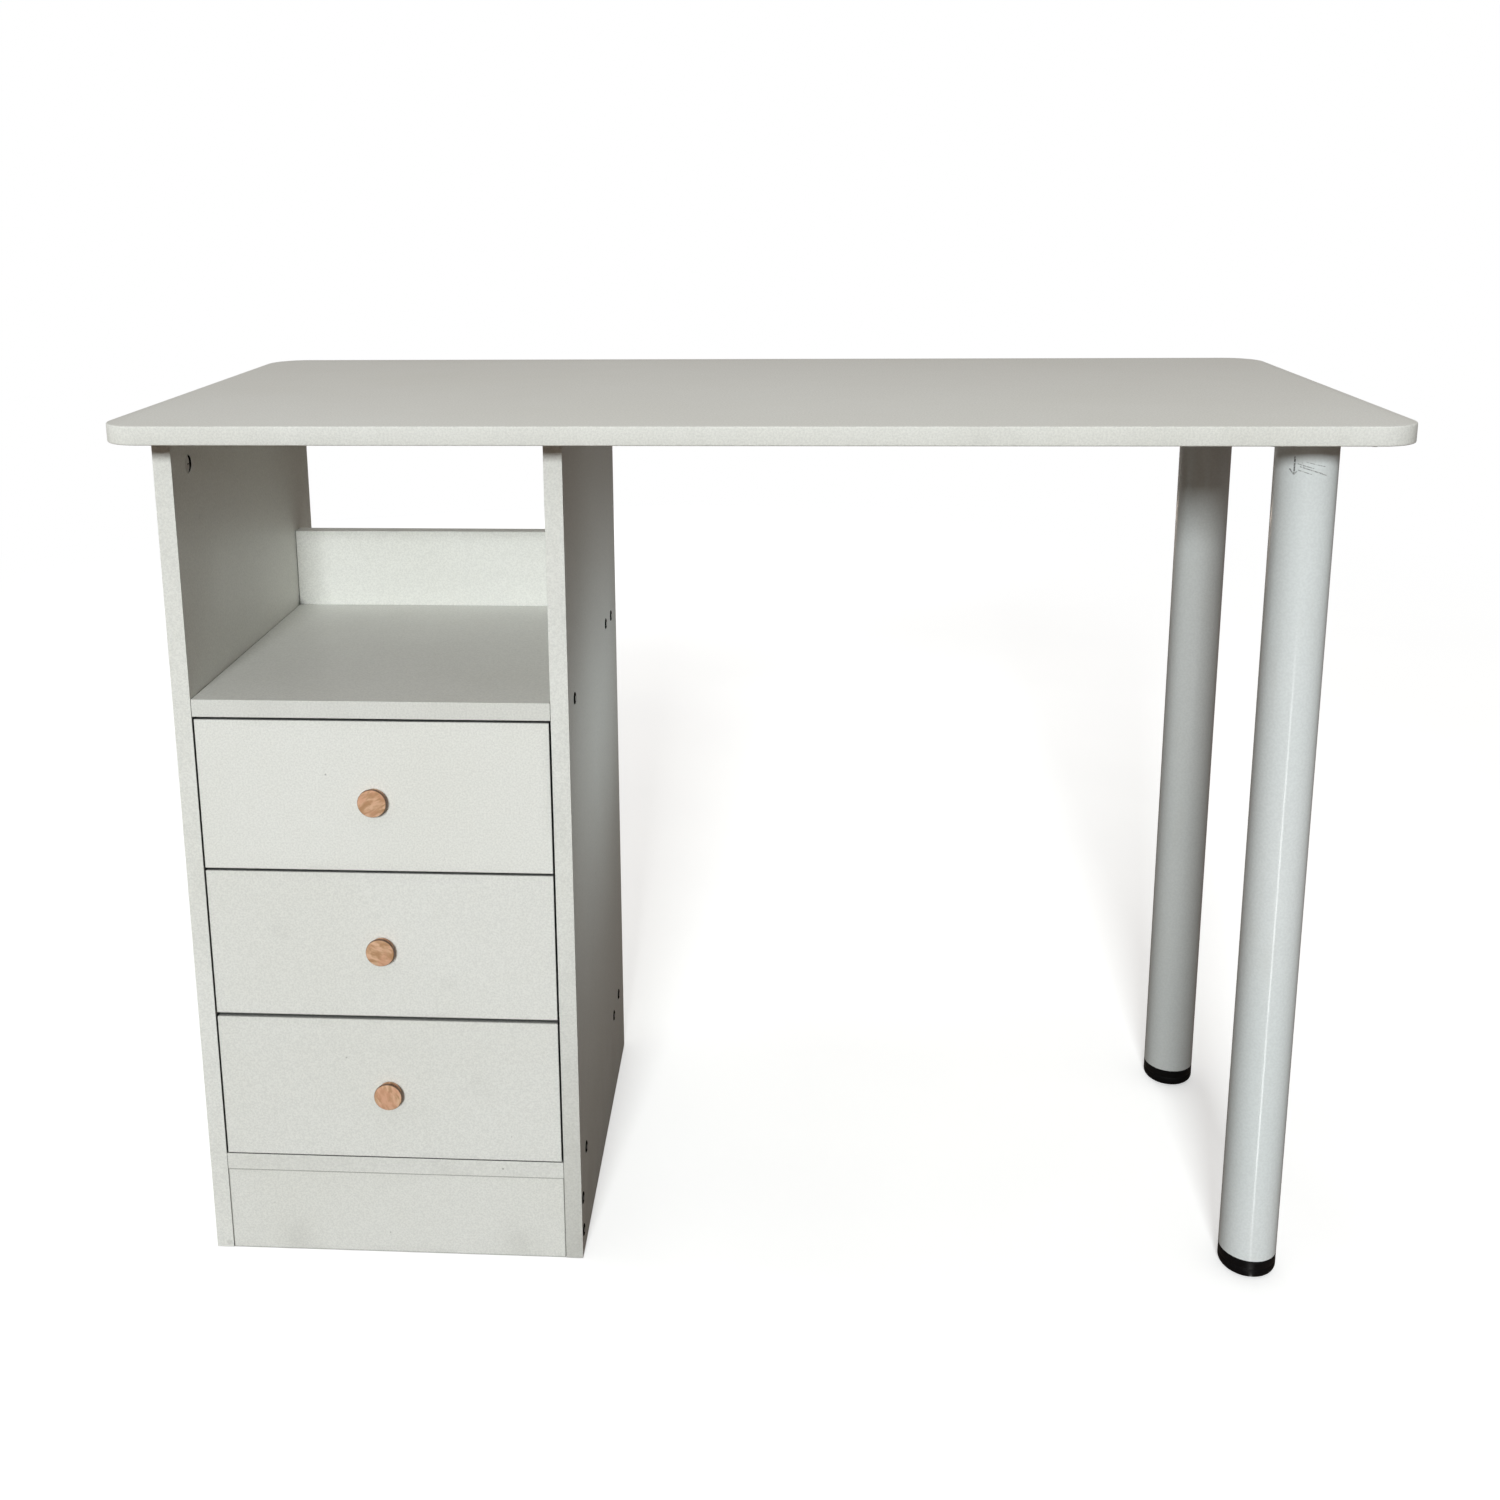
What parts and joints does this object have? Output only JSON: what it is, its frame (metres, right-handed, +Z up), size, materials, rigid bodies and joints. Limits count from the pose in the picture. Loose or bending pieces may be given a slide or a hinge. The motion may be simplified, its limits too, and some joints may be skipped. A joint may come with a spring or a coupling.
{
  "type": "writing desk with drawers",
  "caption": "White writing desk: a pedestal of drawers with an open shelf space under the left of the top, round steel legs with black feet under the right.",
  "frame": {"origin": "on the floor, under the middle of the desktop", "axes": "+X to the right of someone sitting at the desk, along the desktop's length; -Y towards them; +Z up"},
  "size_m": [1, 0.46, 0.75],
  "materials": {
    "white_melamine": "white melamine-faced particle board, satin, with thin edge bands",
    "drawer_board": "white foil-wrapped drawer board, matte",
    "hardboard": "thin hardboard, painted white on its upper face",
    "white_powder_coat": "white powder coat on steel, semi-gloss",
    "black_plastic": "moulded black plastic, satin",
    "knob_wood": "turned beech, clear matt lacquer",
    "zinc": "zinc-plated steel"
  },
  "bodies": {
    "desk": {"desktop": "white_melamine", "left_side_panel": "white_melamine", "right_side_panel": "white_melamine", "shelf": "white_melamine", "bottom_panel": "white_melamine", "kick_board": "white_melamine", "back_panel": "white_melamine", "front_leg_plate": "white_powder_coat", "rear_leg_plate": "white_powder_coat", "front_leg_tube": "white_powder_coat", "rear_leg_tube": "white_powder_coat", "front_foot": "black_plastic", "rear_foot": "black_plastic", "left_front_cam_lock": "zinc", "left_rear_cam_lock": "zinc", "right_front_cam_lock": "zinc", "right_rear_cam_lock": "zinc", "shelf_screw_front": "zinc", "shelf_screw_rear": "zinc", "bottom_screw_front": "zinc", "bottom_screw_rear": "zinc", "kick_screw_lower": "zinc", "kick_screw_upper": "zinc", "back_screw_lower": "zinc", "back_screw_upper": "zinc", "upper_drawer_left_cabinet_runner": "white_powder_coat", "upper_drawer_right_cabinet_runner": "white_powder_coat", "middle_drawer_left_cabinet_runner": "white_powder_coat", "middle_drawer_right_cabinet_runner": "white_powder_coat", "lower_drawer_left_cabinet_runner": "white_powder_coat", "lower_drawer_right_cabinet_runner": "white_powder_coat"},
    "upper_drawer": {"upper_drawer_front": "white_melamine", "upper_drawer_left_side": "drawer_board", "upper_drawer_right_side": "drawer_board", "upper_drawer_back": "drawer_board", "upper_drawer_bottom": "hardboard", "upper_drawer_left_drawer_runner": "white_powder_coat", "upper_drawer_right_drawer_runner": "white_powder_coat", "upper_drawer_knob": "knob_wood", "upper_drawer_knob_screw": "zinc"},
    "middle_drawer": {"middle_drawer_front": "white_melamine", "middle_drawer_left_side": "drawer_board", "middle_drawer_right_side": "drawer_board", "middle_drawer_back": "drawer_board", "middle_drawer_bottom": "hardboard", "middle_drawer_left_drawer_runner": "white_powder_coat", "middle_drawer_right_drawer_runner": "white_powder_coat", "middle_drawer_knob": "knob_wood", "middle_drawer_knob_screw": "zinc"},
    "lower_drawer": {"lower_drawer_front": "white_melamine", "lower_drawer_left_side": "drawer_board", "lower_drawer_right_side": "drawer_board", "lower_drawer_back": "drawer_board", "lower_drawer_bottom": "hardboard", "lower_drawer_left_drawer_runner": "white_powder_coat", "lower_drawer_right_drawer_runner": "white_powder_coat", "lower_drawer_knob": "knob_wood", "lower_drawer_knob_screw": "zinc"}
  },
  "joints": [
    {"name": "upper_drawer_slide", "type": "slide", "parent": "desk", "child": "upper_drawer", "axis": [0, -1, 0], "range_m": [0, 0.19]},
    {"name": "middle_drawer_slide", "type": "slide", "parent": "desk", "child": "middle_drawer", "axis": [0, -1, 0], "range_m": [0, 0.19]},
    {"name": "lower_drawer_slide", "type": "slide", "parent": "desk", "child": "lower_drawer", "axis": [0, -1, 0], "range_m": [0, 0.19]}
  ]
}
